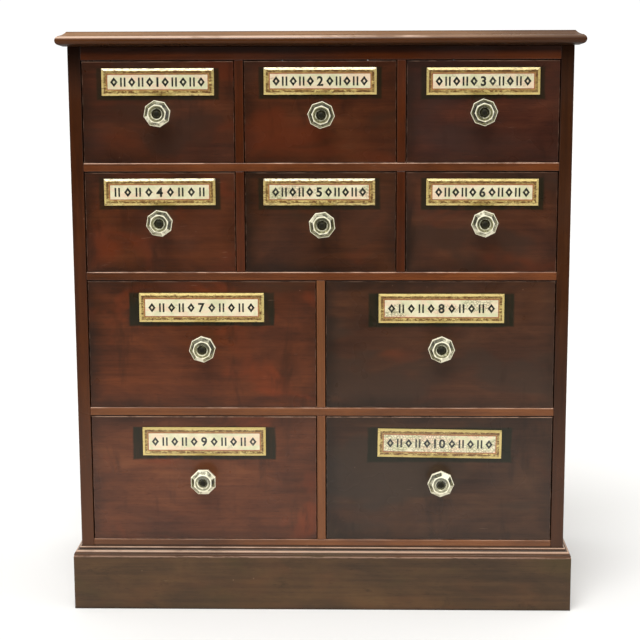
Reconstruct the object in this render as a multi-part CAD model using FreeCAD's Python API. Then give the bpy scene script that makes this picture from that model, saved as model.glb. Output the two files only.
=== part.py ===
import FreeCAD, Part
import math
import os

# Apothecary chest of ten drawers on a moulded plinth.
# Millimetres. +X is the chest's left-to-right seen from the front, the front faces -Y, +Z is up.
# While modelling, y = 0 is the carcass front plane; export() shifts every piece so that the
# origin ends up at the bottom centre of the whole chest, knobs included.

# ---- carcass ---------------------------------------------------------------------------------
WIDTH = 710.0            # over the side panels
DEPTH = 350.0            # front plane to back face
SIDE_T = 18.0
BACK_T = 10.0
BACK_REBATE = 9.0        # how far the back boards lap onto each side panel
BACK_BOARDS = 5
BACK_GAP = 0.8           # shrinkage gap between back boards
INNER_W = WIDTH - 2 * SIDE_T

# ---- levels, from the floor up ---------------------------------------------------------------
PLINTH_H = 80.0
MOULDING_H = 14.4
BOTTOM_RAIL_TOP = 104.0
LARGE_H = 187.0          # height of a large drawer opening
SMALL_H = 144.0          # height of a small drawer opening
RAIL_T = 12.0            # thickness of the rails between rows
TOP_RAIL_H = 19.5
TOP_T = 20.5
RAIL_DEPTH = 45.0
MUNTIN_W = 12.0
TENON_L = 8.0
TENON_D = 26.0
TENON_SHOULDER = 2.0

# ---- top board and plinth --------------------------------------------------------------------
TOP_OVERHANG = 15.0
PLINTH_PROUD = 11.0
PLINTH_T = 20.0
BLOCK = 28.0             # corner glue blocks in the plinth
BLOCK_DROP = 6.0         # their clearance from the floor

# ---- boards inside the carcass ---------------------------------------------------------------
DUST_T = 10.0
DUST_HOUSING = 4.0       # how far a dust board is let into each side panel
DUST_TONGUE = 5.0        # how far it is let into the rail
GUIDE_T = 10.0
KICKER_W = 20.0
STOP_W = 34.0
STOP_D = 14.0
STOP_T = 5.0

# ---- drawers ---------------------------------------------------------------------------------
SET_BACK = 1.5           # drawer fronts stand this far behind the rails
SIDE_GAP = 1.4
TOP_GAP = 1.3
BOTTOM_GAP = 0.5
FRONT_T = 19.0
LAP = 5.0                # wood left in front of the half-blind dovetails
DRAWER_LENGTH = 326.0
BOX_T = 8.5              # sides and back
BOTTOM_T = 5.0
BOTTOM_RAISE = 10.0      # underside of a drawer bottom above its sides' lower edges
BOTTOM_HOUSING = 4.0
SIDE_LOWER = 2.0         # drawer sides finish this far below the front's top edge
BACK_LOWER = 8.0         # and the drawer back this far below the sides
TAIL_SHARE = 0.68        # tail width at its tip, as a share of the pitch
TAIL_SLOPE = math.tan(math.radians(9))
TRAVEL_CLEAR = 0.3

# ---- labels and knobs ------------------------------------------------------------------------
SMALL_LABEL = (158.6, 37.8)
LARGE_LABEL = (180.0, 42.2)
LABEL_T = 3.0
LABEL_BEVEL = (3.2, 1.4)   # width on the face, and depth
KNOB_AF = 35.4           # across the flats of the octagonal head
KNOB_TABLE = 23.9        # across the flats of its front table
KNOB_FOOT_R = 10.5
KNOB_NECK_AF = 17.0
KNOB_BORE_R = 2.4
BOLT_R = 2.2
BOLT_HEAD_R = 4.7
BOLT_HEAD_H = 2.0
DISH_R = 7.0
DISH_DEPTH = 2.2
WASHER_R = 8.0
WASHER_T = 1.4
NUT_AF = 10.0
NUT_T = 4.5

# heights of the knob's sections above the drawer front
KNOB_FOOT_H = 3.0
KNOB_NECK_H = 9.5
KNOB_GIRDLE_LOW = 20.0
KNOB_GIRDLE_HIGH = 24.5
KNOB_REACH = 31.0

# The rows from the top down.
ROWS = [
    dict(high=SMALL_H, drawers=3, label=SMALL_LABEL),
    dict(high=SMALL_H, drawers=3, label=SMALL_LABEL),
    dict(high=LARGE_H, drawers=2, label=LARGE_LABEL),
    dict(high=LARGE_H, drawers=2, label=LARGE_LABEL),
]
# Every drawer's fittings, left to right and top to bottom. They were put on by eye, so each
# label and knob is a little off the opening's centre (x, z); tilt and turn are in degrees.
FITTED = [
    dict(label=(0.1, 42.0), knob=(1.1, -1.4), tilt=0.0, turn=34.5),
    dict(label=(0.1, 42.8), knob=(1.8, -3.7), tilt=0.0, turn=17.5),
    dict(label=(0.0, 42.0), knob=(0.0, -0.6), tilt=0.0, turn=26.5),
    dict(label=(-0.1, 43.2), knob=(1.4, 0.8), tilt=0.2, turn=35.0),
    dict(label=(-1.8, 43.0), knob=(2.7, -1.8), tilt=0.0, turn=7.5),
    dict(label=(0.7, 42.5), knob=(3.0, -0.3), tilt=-0.2, turn=26.5),
    dict(label=(-0.3, 54.2), knob=(2.1, -3.0), tilt=0.0, turn=28.5),
    dict(label=(1.6, 53.0), knob=(1.1, -3.1), tilt=0.0, turn=20.5),
    dict(label=(0.4, 54.9), knob=(0.2, -0.4), tilt=0.0, turn=0.0),
    dict(label=(0.8, 52.6), knob=(2.0, -2.3), tilt=-0.8, turn=20.5),
]

# ---- derived ---------------------------------------------------------------------------------
TOP_Z = BOTTOM_RAIL_TOP + 2 * LARGE_H + 2 * SMALL_H + 3 * RAIL_T + TOP_RAIL_H
KNOB_STAND = KNOB_REACH - SET_BACK
ORIGIN = FreeCAD.Vector(0, -(DEPTH - KNOB_STAND) / 2, 0)
INSIDE_BACK = DEPTH - BACK_T


def vec(x, y, z):
    return FreeCAD.Vector(x, y, z)


def box(x0, x1, y0, y1, z0, z1):
    """A board given by its limits along X, Y and Z."""
    return Part.makeBox(x1 - x0, y1 - y0, z1 - z0, vec(x0, y0, z0))


def prism(points, direction):
    """A closed polygon swept along a vector."""
    wire = Part.makePolygon([*points, points[0]])
    return Part.Face(wire).extrude(direction)


def cut_all(body, tools):
    for tool in tools:
        body = body.cut(tool)
    return body


def export(name, solids):
    """Writes one node. Its solids stay separate."""
    shape = solids[0] if len(solids) == 1 else Part.makeCompound(solids)
    shape = shape.copy()
    shape.translate(ORIGIN)
    shape.exportStep(f"parts/{name}.step")


# ---- openings --------------------------------------------------------------------------------
def rows():
    """The rows from the top down, each with its lowest and highest z and its openings' x limits."""
    found = []
    top = TOP_Z - TOP_RAIL_H
    for row in ROWS:
        low = top - row["high"]
        count = row["drawers"]
        clear = (INNER_W - (count - 1) * MUNTIN_W) / count
        spans = []
        for i in range(count):
            left = -INNER_W / 2 + i * (clear + MUNTIN_W)
            spans.append((left, left + clear))
        found.append(dict(row, z0=low, z1=top, spans=spans))
        top = low - RAIL_T
    return found


def openings():
    """Every drawer opening, left to right and top to bottom."""
    return [dict(row, span=span) for row in rows() for span in row["spans"]]


# ---- carcass pieces --------------------------------------------------------------------------
def rail_levels():
    """Lowest and highest z of the top rail, the rails between rows and the bottom rail."""
    found = [(TOP_Z - TOP_RAIL_H, TOP_Z)]
    for row in rows():
        thick = RAIL_T if row["z0"] > BOTTOM_RAIL_TOP + 1 else BOTTOM_RAIL_TOP - PLINTH_H
        found.append((row["z0"] - thick, row["z0"]))
    return found


def rail_tenons():
    """The stub tenons of every rail, as boxes let into both side panels."""
    found = []
    for low, high in rail_levels():
        z0 = low + TENON_SHOULDER
        z1 = high - TENON_SHOULDER
        y0 = (RAIL_DEPTH - TENON_D) / 2
        for side in (-1, 1):
            x = side * INNER_W / 2
            x0, x1 = sorted((x - side, x + side * TENON_L))
            found.append(box(x0, x1, y0, y0 + TENON_D, z0, z1))
    return found


def dust_levels():
    """Top faces of the boards that the drawers run on, the carcass bottom last."""
    return [row["z0"] for row in rows()]


def dust_board(top):
    half = INNER_W / 2 + DUST_HOUSING
    return box(-half, half, RAIL_DEPTH - DUST_TONGUE, INSIDE_BACK, top - DUST_T, top)


def side_panel(side):
    inner, outer = side * INNER_W / 2, side * WIDTH / 2
    x0, x1 = sorted((inner, outer))
    panel = box(x0, x1, 0, DEPTH, PLINTH_H, TOP_Z)
    rebate = outer - side * (SIDE_T - BACK_REBATE)
    r0, r1 = sorted((inner - side, rebate))
    cutters = [box(r0, r1, INSIDE_BACK, DEPTH + 1, PLINTH_H - 1, TOP_Z + 1)]
    cutters += rail_tenons()
    cutters += [dust_board(top) for top in dust_levels()]
    return cut_all(panel, cutters)


def front_rails():
    tenons = rail_tenons()
    grooves = [dust_board(top) for top in dust_levels()]
    found = []
    for low, high in rail_levels():
        rail = box(-INNER_W / 2, INNER_W / 2, 0, RAIL_DEPTH, low, high)
        for tenon in tenons:
            if low < tenon.CenterOfMass.z < high:
                rail = rail.fuse(tenon)
        found.append(cut_all(rail.removeSplitter(), grooves))
    return found


def upright_spans(row):
    """x limits of the uprights between a row's openings."""
    spans = row["spans"]
    return [(a[1], b[0]) for a, b in zip(spans, spans[1:])]


def front_muntins():
    found = []
    for row in rows():
        for x0, x1 in upright_spans(row):
            found.append(box(x0, x1, 0, RAIL_DEPTH, row["z0"], row["z1"]))
    return found


def guide_top(row):
    """A guide reaches the underside of the board above it."""
    under_top_rail = row["z1"] > TOP_Z - TOP_RAIL_H - 1
    return TOP_Z if under_top_rail else row["z1"] + RAIL_T - DUST_T


def drawer_guides():
    """Upright boards behind the muntins, and two kickers above the outer top drawers."""
    found = []
    for row in rows():
        for x0, x1 in upright_spans(row):
            middle = (x0 + x1) / 2
            found.append(box(middle - GUIDE_T / 2, middle + GUIDE_T / 2,
                             RAIL_DEPTH, INSIDE_BACK, row["z0"], guide_top(row)))
    for side in (-1, 1):
        x0, x1 = sorted((side * INNER_W / 2, side * (INNER_W / 2 - KICKER_W)))
        found.append(box(x0, x1, RAIL_DEPTH, INSIDE_BACK, TOP_Z - TOP_RAIL_H, TOP_Z))
    return found


def drawer_stops():
    """Two small blocks behind each drawer front, which it meets when it is shut."""
    y0 = SET_BACK + FRONT_T + TRAVEL_CLEAR
    found = []
    for hole in openings():
        x0, x1 = hole["span"]
        for share in (0.25, 0.75):
            x = x0 + share * (x1 - x0)
            found.append(box(x - STOP_W / 2, x + STOP_W / 2, y0, y0 + STOP_D,
                             hole["z0"], hole["z0"] + STOP_T))
    return found


def back_boards():
    half = WIDTH / 2 - (SIDE_T - BACK_REBATE)
    pitch = 2 * half / BACK_BOARDS
    found = []
    for i in range(BACK_BOARDS):
        x0 = -half + i * pitch
        found.append(box(x0 + BACK_GAP / 2, x0 + pitch - BACK_GAP / 2,
                         INSIDE_BACK, DEPTH, PLINTH_H, TOP_Z))
    return found


# ---- top board -------------------------------------------------------------------------------
def top_edge(half):
    """The moulded edge in (outwards, z): a cove above a round nose, for one end at +half."""
    high = TOP_Z + TOP_T
    cove = [(half + 1.0, high - 0.6), (half + 5.0, high - 3.8), (half + 11.2, high - 5.9)]
    nose = [(half + 11.6, high - 6.5), (half + TOP_OVERHANG, high - 11.8), (half + 11.0, high - 18.3)]
    under = [(half + 11.0, high - 18.3), (half + 5.0, TOP_Z)]
    return high, cove, nose, under


def moulded_end(half, place):
    """Edges of the moulded end, from the top face down to the underside."""
    high, cove, nose, under = top_edge(half)
    points = [place(*p) for p in cove]
    start = place(half + 1.0, high)
    found = [Part.LineSegment(start, points[0]).toShape(), Part.Arc(*points).toShape()]
    found.append(Part.LineSegment(points[2], place(*nose[0])).toShape())
    found.append(Part.Arc(*[place(*p) for p in nose]).toShape())
    found.append(Part.LineSegment(*[place(*p) for p in under]).toShape())
    return found


def top_board():
    """The board is where a slab moulded along the front meets one moulded along both ends."""
    half = WIDTH / 2
    high = TOP_Z + TOP_T

    def front(s, z):
        return vec(-half - TOP_OVERHANG, -s, z)

    edges = moulded_end(0, front)
    back = [vec(-half - TOP_OVERHANG, DEPTH, z) for z in (TOP_Z, high)]
    edges.append(Part.LineSegment(front(5.0, TOP_Z), back[0]).toShape())
    edges.append(Part.LineSegment(*back).toShape())
    edges.append(Part.LineSegment(back[1], front(1.0, high)).toShape())
    along_front = Part.Face(Part.Wire(Part.__sortEdges__(edges)))
    slab = along_front.extrude(vec(WIDTH + 2 * TOP_OVERHANG, 0, 0))

    def right(s, z):
        return vec(s, -TOP_OVERHANG, z)

    def left(s, z):
        return vec(-s, -TOP_OVERHANG, z)

    edges = moulded_end(half, right) + moulded_end(half, left)
    edges.append(Part.LineSegment(left(half + 1.0, high), right(half + 1.0, high)).toShape())
    edges.append(Part.LineSegment(left(half + 5.0, TOP_Z), right(half + 5.0, TOP_Z)).toShape())
    along_ends = Part.Face(Part.Wire(Part.__sortEdges__(edges)))
    return slab.common(along_ends.extrude(vec(0, DEPTH + TOP_OVERHANG, 0)))


# ---- plinth ----------------------------------------------------------------------------------
def mitred_runs(section, reach):
    """A front run and two side runs with one section, mitred at the front corners.

    section(place) gives the closed section through place(outwards, z)."""
    half = WIDTH / 2 + reach
    far = 2 * DEPTH
    corner = vec(0, WIDTH / 2, 0)
    ahead = [corner + vec(side * far, -far, 0) for side in (-1, 1)]
    behind = [corner + vec(side * far, far, 0) for side in (-1, 1)]
    straight_back = corner + vec(0, far, 0)
    height = vec(0, 0, TOP_Z)

    def at_front(s, z):
        return vec(-half, -s, z)

    front = section(at_front).extrude(vec(2 * half, 0, 0))
    runs = [front.common(prism([corner, *ahead], height))]
    for side, near, far_corner in zip((-1, 1), ahead, behind):

        def at_side(s, z, side=side):
            return vec(side * (WIDTH / 2 + s), -reach, z)

        run = section(at_side).extrude(vec(0, DEPTH + reach, 0))
        runs.append(run.common(prism([corner, near, far_corner, straight_back], height)))
    return runs


def plinth_section(place):
    inner = PLINTH_PROUD - PLINTH_T
    points = [place(s, z) for s, z in
              ((inner, 0), (PLINTH_PROUD, 0), (PLINTH_PROUD, PLINTH_H), (inner, PLINTH_H))]
    return Part.Face(Part.makePolygon([*points, points[0]]))


def moulding_section(place):
    """Planted on the plinth against the carcass: a bead, a quirk, a broad ovolo and a fillet."""
    low, high = PLINTH_H, PLINTH_H + MOULDING_H
    top = [(0, high), (0.8, high), (0.8, high - 1.5), (1.6, high - 1.7)]
    bead = [(1.6, high - 1.7), (3.3, high - 3.0), (3.1, high - 5.0)]
    ovolo = [(3.7, high - 5.6), (8.5, high - 7.6), (9.7, high - 10.4)]
    fillet = [(9.7, high - 10.4), (10.4, high - 10.8), (10.4, low + 1.1), (PLINTH_PROUD, low)]
    lines = [*zip(top, top[1:]), (bead[2], ovolo[0]), *zip(fillet, fillet[1:])]
    lines += [(fillet[-1], (0, low)), ((0, low), (0, high))]
    edges = [Part.LineSegment(place(*a), place(*b)).toShape() for a, b in lines]
    edges += [Part.Arc(*[place(*p) for p in curve]).toShape() for curve in (bead, ovolo)]
    return Part.Face(Part.Wire(Part.__sortEdges__(edges)))


def plinth_boards():
    """Front and side boards mitred at the corners, a back board between the sides, glue blocks."""
    runs = mitred_runs(plinth_section, PLINTH_PROUD)
    inner = WIDTH / 2 + PLINTH_PROUD - PLINTH_T
    front = PLINTH_T - PLINTH_PROUD
    runs.append(box(-inner, inner, DEPTH - PLINTH_T, DEPTH, 0, PLINTH_H))
    for side in (-1, 1):
        for y in (front, DEPTH - PLINTH_T - BLOCK):
            x0, x1 = sorted((side * inner, side * (inner - BLOCK)))
            runs.append(box(x0, x1, y, y + BLOCK, BLOCK_DROP, PLINTH_H))
    return runs


# ---- drawers ---------------------------------------------------------------------------------
def drawer_limits(hole):
    x0, x1 = hole["span"]
    return x0 + SIDE_GAP, x1 - SIDE_GAP, hole["z0"] + BOTTOM_GAP, hole["z1"] - TOP_GAP


def tails(z0, z1, y0, y1, x0, x1, count):
    """Dovetail tails along a board's end: narrow at y0, wide at y1, spread evenly from z0 to z1."""
    pitch = (z1 - z0) / count
    wide = TAIL_SHARE * pitch / 2
    narrow = wide - abs(y1 - y0) * TAIL_SLOPE
    found = []
    for i in range(count):
        z = z0 + (i + 0.5) * pitch
        points = [vec(x0, y0, z - narrow), vec(x0, y1, z - wide),
                  vec(x0, y1, z + wide), vec(x0, y0, z + narrow)]
        found.append(prism(points, vec(x1 - x0, 0, 0)))
    return found


def drawer_pieces(hole):
    """The front, and the box of two sides, a back and a bottom, dovetailed together."""
    x0, x1, z0, z1 = drawer_limits(hole)
    y_front = SET_BACK
    y_shoulder = SET_BACK + FRONT_T
    y_back = SET_BACK + DRAWER_LENGTH
    count = 3 if hole["high"] < LARGE_H else 4
    side_top = z1 - SIDE_LOWER
    back_low = z0 + BOTTOM_RAISE + BOTTOM_T
    back_top = side_top - BACK_LOWER
    bottom = box(x0 + BOX_T - BOTTOM_HOUSING, x1 - BOX_T + BOTTOM_HOUSING,
                 y_shoulder - BOTTOM_HOUSING, y_back, z0 + BOTTOM_RAISE, back_low)
    front = box(x0, x1, y_front, y_shoulder, z0, z1)
    back = box(x0, x1, y_back - BOX_T, y_back, back_low, back_top)
    sides = []
    for a, b in ((x0, x0 + BOX_T), (x1 - BOX_T, x1)):
        front_tails = tails(z0, side_top, y_shoulder, y_front + LAP, a, b, count)
        back_tails = tails(back_low, back_top, y_back - BOX_T, y_back, a, b, count)
        front = cut_all(front, front_tails)
        back = cut_all(back, back_tails)
        side = box(a, b, y_shoulder, y_back, z0, side_top).cut(back)
        for tail in front_tails:
            side = side.fuse(tail)
        sides.append(side.removeSplitter().cut(bottom))
    front = front.cut(bottom)
    return front, [*sides, back, bottom]


def knob_centre(index, hole):
    x0, x1 = hole["span"]
    dx, dz = FITTED[index]["knob"]
    return (x0 + x1) / 2 + dx, (hole["z0"] + hole["z1"]) / 2 + dz


def cylinder(x, z, radius, y0, y1):
    return Part.makeCylinder(radius, y1 - y0, vec(x, y0, z), vec(0, 1, 0))


def octagon(across, y, turn):
    """An octagonal wire facing the front, centred on x = z = 0."""
    radius = across / 2 / math.cos(math.pi / 8)
    points = []
    for i in range(8):
        a = math.radians(turn + 22.5 + 45 * i)
        points.append(vec(radius * math.cos(a), y, radius * math.sin(a)))
    return Part.makePolygon([*points, points[0]])


def knob(x, z, turn):
    """A pressed-glass knob: round foot, octagonal neck, flared back, girdle, bevels and a table."""
    stations = [(KNOB_NECK_AF + 2.0, KNOB_FOOT_H), (KNOB_NECK_AF, KNOB_FOOT_H + 2.5),
                (KNOB_NECK_AF + 1.0, KNOB_NECK_H), (KNOB_AF, KNOB_GIRDLE_LOW),
                (KNOB_AF, KNOB_GIRDLE_HIGH), (KNOB_TABLE, KNOB_REACH)]
    wires = [octagon(across, SET_BACK - height, turn) for across, height in stations]
    glass = Part.makeLoft(wires, True, True)
    foot = cylinder(0, 0, KNOB_FOOT_R, SET_BACK - KNOB_FOOT_H, SET_BACK)
    dish_front = SET_BACK - KNOB_REACH
    dish = cylinder(0, 0, DISH_R, dish_front - 1, dish_front + DISH_DEPTH)
    bore = cylinder(0, 0, KNOB_BORE_R, dish_front - 1, SET_BACK + 1)
    glass = glass.fuse(foot).cut(dish).cut(bore)
    glass.translate(vec(x, 0, z))
    return glass


def knob_bolt(x, z):
    """A round-headed bolt through knob and drawer front, with a washer and a square nut inside."""
    seat = SET_BACK - KNOB_REACH + DISH_DEPTH
    inside = SET_BACK + FRONT_T
    head_y = seat - BOLT_HEAD_H
    ball_r = (BOLT_HEAD_R ** 2 + BOLT_HEAD_H ** 2) / (2 * BOLT_HEAD_H)
    ball = Part.makeSphere(ball_r, vec(x, head_y + ball_r, z))
    head = ball.common(cylinder(x, z, BOLT_HEAD_R + 1, head_y - 1, seat))
    end = inside + WASHER_T + NUT_T + 1.6
    bolt = head.fuse(cylinder(x, z, BOLT_R, seat, end))
    hole = cylinder(x, z, BOLT_R, inside, end)
    washer = cylinder(x, z, WASHER_R, inside, inside + WASHER_T).cut(hole)
    h = NUT_AF / 2
    nut_y = inside + WASHER_T
    nut = box(x - h, x + h, nut_y, nut_y + NUT_T, z - h, z + h).cut(hole)
    return [bolt, washer, nut]


def label(index, hole):
    """A bevelled glass plate stuck to the drawer front."""
    width, high = hole["label"]
    dx, dz = FITTED[index]["label"]
    x = (hole["span"][0] + hole["span"][1]) / 2 + dx
    z = (hole["z0"] + hole["z1"]) / 2 + dz
    inset, depth = LABEL_BEVEL
    rims = []
    for y, shrink in ((SET_BACK, 0), (SET_BACK - LABEL_T + depth, 0), (SET_BACK - LABEL_T, inset)):
        w, h = width / 2 - shrink, high / 2 - shrink
        rim = [vec(x - w, y, z - h), vec(x + w, y, z - h), vec(x + w, y, z + h), vec(x - w, y, z + h)]
        rims.append(Part.makePolygon([*rim, rim[0]]))
    plate = Part.makeLoft(rims, True, True)
    plate.rotate(vec(x, 0, z), vec(0, 1, 0), -FITTED[index]["tilt"])
    return plate


def build_drawers():
    for index, hole in enumerate(openings()):
        name = f"drawer_{index + 1:02d}"
        x, z = knob_centre(index, hole)
        front, box_solids = drawer_pieces(hole)
        front = front.cut(cylinder(x, z, KNOB_BORE_R, 0, 2 * FRONT_T))
        export(f"{name}_front", [front])
        export(f"{name}_box", box_solids)
        knob_solid = knob(x, z, FITTED[index]["turn"])
        export(f"{name}_knob", [knob_solid])
        export(f"{name}_knob_bolt", knob_bolt(x, z))
        export(f"{name}_label", [label(index, hole)])


def build_carcass():
    export("top_board", [top_board()])
    export("side_panel_left", [side_panel(-1)])
    export("side_panel_right", [side_panel(1)])
    export("front_rails", front_rails())
    export("front_muntins", front_muntins())
    export("dust_boards", [dust_board(top) for top in dust_levels()] + drawer_stops())
    export("drawer_guides", drawer_guides())
    export("back_boards", back_boards())
    export("plinth_boards", plinth_boards())
    export("plinth_moulding", mitred_runs(moulding_section, PLINTH_PROUD))


os.makedirs("parts", exist_ok=True)
build_carcass()
build_drawers()
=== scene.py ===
import math
import random

import bmesh
import bpy
from mathutils import Matrix, Vector


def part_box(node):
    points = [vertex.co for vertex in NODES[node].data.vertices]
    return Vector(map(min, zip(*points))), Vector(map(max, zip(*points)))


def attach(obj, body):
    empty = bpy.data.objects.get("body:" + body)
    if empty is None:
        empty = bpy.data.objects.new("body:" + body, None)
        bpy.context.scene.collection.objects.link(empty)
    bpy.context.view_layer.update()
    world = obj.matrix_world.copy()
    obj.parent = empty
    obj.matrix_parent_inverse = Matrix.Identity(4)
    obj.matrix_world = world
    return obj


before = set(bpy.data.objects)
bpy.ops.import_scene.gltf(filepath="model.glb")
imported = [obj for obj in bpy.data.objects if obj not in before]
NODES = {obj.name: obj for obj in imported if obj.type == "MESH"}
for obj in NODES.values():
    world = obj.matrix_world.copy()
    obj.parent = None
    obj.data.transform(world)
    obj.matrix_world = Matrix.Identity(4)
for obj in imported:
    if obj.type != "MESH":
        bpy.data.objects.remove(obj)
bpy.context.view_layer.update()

# Looks of the apothecary chest: polished mahogany, gilt glass labels, faceted knobs, pine inside.
# Metres, in the frame of the CAD model: +Z up, the drawers open along -Y.

MM = 0.001
FRONT_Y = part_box("side_panel_left")[0].y
DRAWERS = [f"drawer_{i:02d}" for i in range(1, 11)]
LARGE_LABEL = 170 * MM   # a label plate wider than this is one of the large ones


# ---- shader helpers --------------------------------------------------------------------------
class Shader:
    """Adds nodes to one material. Every helper returns an output socket."""

    def __init__(self, name):
        self.material = bpy.data.materials.new(name)
        self.material.use_nodes = True
        self.tree = self.material.node_tree
        self.tree.nodes.clear()
        self.bsdf = self.node("ShaderNodeBsdfPrincipled")
        out = self.node("ShaderNodeOutputMaterial")
        self.tree.links.new(self.bsdf.outputs["BSDF"], out.inputs["Surface"])
        self.place = self.node("ShaderNodeTexCoord").outputs["Object"]

    def node(self, kind, **settings):
        made = self.tree.nodes.new(kind)
        for key, value in settings.items():
            setattr(made, key, value)
        return made

    def feed(self, socket, value):
        if isinstance(value, bpy.types.NodeSocket):
            self.tree.links.new(value, socket)
        elif isinstance(value, tuple) and len(value) == 3 and socket.type == "RGBA":
            socket.default_value = (*value, 1.0)
        else:
            socket.default_value = value

    def set(self, **values):
        """Sets or links the Principled shader's inputs, such as Base_Color."""
        for key, value in values.items():
            self.feed(self.bsdf.inputs[key.replace("_", " ")], value)

    def math(self, operation, a, b=0.0, clamp=False):
        made = self.node("ShaderNodeMath", operation=operation, use_clamp=clamp)
        self.feed(made.inputs[0], a)
        self.feed(made.inputs[1], b)
        return made.outputs[0]

    def times(self, a, b):
        return self.math("MULTIPLY", a, b)

    def plus(self, a, b, clamp=False):
        return self.math("ADD", a, b, clamp)

    def minus(self, a, b):
        return self.math("SUBTRACT", a, b)

    def vector(self, operation, a, b):
        made = self.node("ShaderNodeVectorMath", operation=operation)
        self.feed(made.inputs[0], a)
        self.feed(made.inputs[1], b)
        return made.outputs[0]

    def turned(self, vector, angle):
        """vector turned about Y by angle degrees."""
        made = self.node("ShaderNodeVectorRotate", rotation_type="Y_AXIS")
        self.feed(made.inputs["Vector"], vector)
        made.inputs["Angle"].default_value = math.radians(angle)
        return made.outputs[0]

    def parts(self, vector):
        made = self.node("ShaderNodeSeparateXYZ")
        self.feed(made.inputs[0], vector)
        return made.outputs[0], made.outputs[1], made.outputs[2]

    def joined(self, x, y, z):
        made = self.node("ShaderNodeCombineXYZ")
        for socket, value in zip(made.inputs, (x, y, z)):
            self.feed(socket, value)
        return made.outputs[0]

    def stretched(self, place, scale):
        """place times scale, which is one number or a number for each axis."""
        return self.vector("MULTIPLY", place, scale if isinstance(scale, tuple) else (scale,) * 3)

    def noise(self, place, scale, detail=4.0, roughness=0.55, distortion=0.0):
        made = self.node("ShaderNodeTexNoise")
        self.feed(made.inputs["Vector"], self.stretched(place, scale))
        made.inputs["Scale"].default_value = 1.0
        made.inputs["Detail"].default_value = detail
        made.inputs["Roughness"].default_value = roughness
        made.inputs["Distortion"].default_value = distortion
        return made.outputs["Fac"]

    def cells(self, place, scale, feature="DISTANCE_TO_EDGE"):
        made = self.node("ShaderNodeTexVoronoi", feature=feature)
        self.feed(made.inputs["Vector"], self.stretched(place, scale))
        made.inputs["Scale"].default_value = 1.0
        return made.outputs["Distance"]

    def span(self, value, low, high, start=0.0, end=1.0):
        """value between low and high becomes start to end, with soft ends."""
        made = self.node("ShaderNodeMapRange", interpolation_type="SMOOTHSTEP")
        for socket, fed in zip(made.inputs, (value, low, high, start, end)):
            self.feed(socket, fed)
        return made.outputs[0]

    def band(self, value, start, full, fading, end):
        """1 where value is between full and fading, falling softly to 0 at start and at end."""
        return self.times(self.span(value, start, full), self.span(value, end, fading))

    def mix(self, share, a, b):
        made = self.node("ShaderNodeMix", data_type="RGBA")
        self.feed(made.inputs[0], share)
        self.feed(made.inputs[6], a)
        self.feed(made.inputs[7], b)
        return made.outputs[2]

    def ramp(self, value, stops):
        made = self.node("ShaderNodeValToRGB")
        self.feed(made.inputs[0], value)
        elements = made.color_ramp.elements
        while len(elements) < len(stops):
            elements.new(0.5)
        for element, (place, colour) in zip(elements, stops):
            element.position = place
            element.color = (*colour, 1.0)
        return made.outputs[0]

    def bump(self, height, strength, distance):
        made = self.node("ShaderNodeBump")
        self.feed(made.inputs["Height"], height)
        made.inputs["Strength"].default_value = strength
        made.inputs["Distance"].default_value = distance
        self.set(Normal=made.outputs[0])

    def radius(self, x, z):
        """Distance from an axis along Y, where x and z are measured from it."""
        return self.math("SQRT", self.plus(self.times(x, x), self.times(z, z)))

    def facing(self):
        """x, y and z of the surface's true normal."""
        return self.parts(self.node("ShaderNodeNewGeometry").outputs["True Normal"])


def put_on(obj, material):
    obj.data.materials.clear()
    obj.data.materials.append(material)


# ---- wood ------------------------------------------------------------------------------------
SHEEN = 0.28             # the wood's specular level under its polish


def shades(red, green, blue):
    """Four tones from dark to light round a middle one; the lighter are more orange."""
    scales = ((0.42, 0.46, 0.55), (0.78, 0.80, 0.85), (1.12, 1.12, 1.08), (1.62, 1.75, 1.70))
    return [(red * r, green * g, blue * b) for r, g, b in scales]


# Painted light: the left side panel gets lighter tones and the right one darker, as if lit from the
# left.
LIT_LEFT_TONES = shades(0.066, 0.0165, 0.003)
SHADED_RIGHT_TONES = shades(0.050, 0.015, 0.004)
RAIL_TONES = shades(0.150, 0.042, 0.011)
# Painted light: a shaded copy of the rail tones for the top rail and the upper muntins, and a lit copy
# for the lower rails and muntins.
SHADED_RAIL_TONES = shades(0.082, 0.0175, 0.003)
LIT_LOWER_RAIL_TONES = shades(0.175, 0.062, 0.021)
PLINTH_TONES = shades(0.084, 0.042, 0.016)
MOULDING_TONES = shades(0.100, 0.042, 0.017)
TOP_TONES = shades(0.098, 0.028, 0.005)
PINE_TONES = [(0.230, 0.130, 0.060), (0.400, 0.250, 0.125), (0.520, 0.345, 0.185), (0.620, 0.440, 0.260)]
BACK_TONES = [(0.090, 0.052, 0.028), (0.190, 0.115, 0.062), (0.275, 0.175, 0.100), (0.360, 0.245, 0.150)]
WORN = (0.48, 0.29, 0.20)
# Bare wood, also laid as a painted highlight on faces that look up.
BARE_AND_HIGHLIGHT = (0.74, 0.46, 0.32)
GRIME = (0.010, 0.007, 0.004)
# Near black: painted shade under overhangs, in gaps and creases and on faces that look down, and real
# dirt in the back's joints.
SHADE_AND_DIRT = (0.006, 0.003, 0.002)
PATCH_PAINT = (0.014, 0.014, 0.006)
TONE_STOPS = (0.12, 0.40, 0.62, 0.92)

# Heights between which the wood changes, in metres from the floor.
HAND_HEIGHT = (0.08, 0.60)        # arrises are worn more and more up to hand height
LOWER_RAILS = (0.40, 0.25)        # the rails are painted paler downwards: painted light
LARGE_ROWS = (0.505, 0.49)        # and so do the muntins, where the large drawers begin
PALER_FOOT = (0.10, 0.45)          # the side panels are painted paler at the foot: painted light
OVERHANG_SHADE = (0.745, 0.815)   # and darkened under the top's overhang: painted shade
OVERHANG_DULL = (0.76, 0.82)


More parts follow.
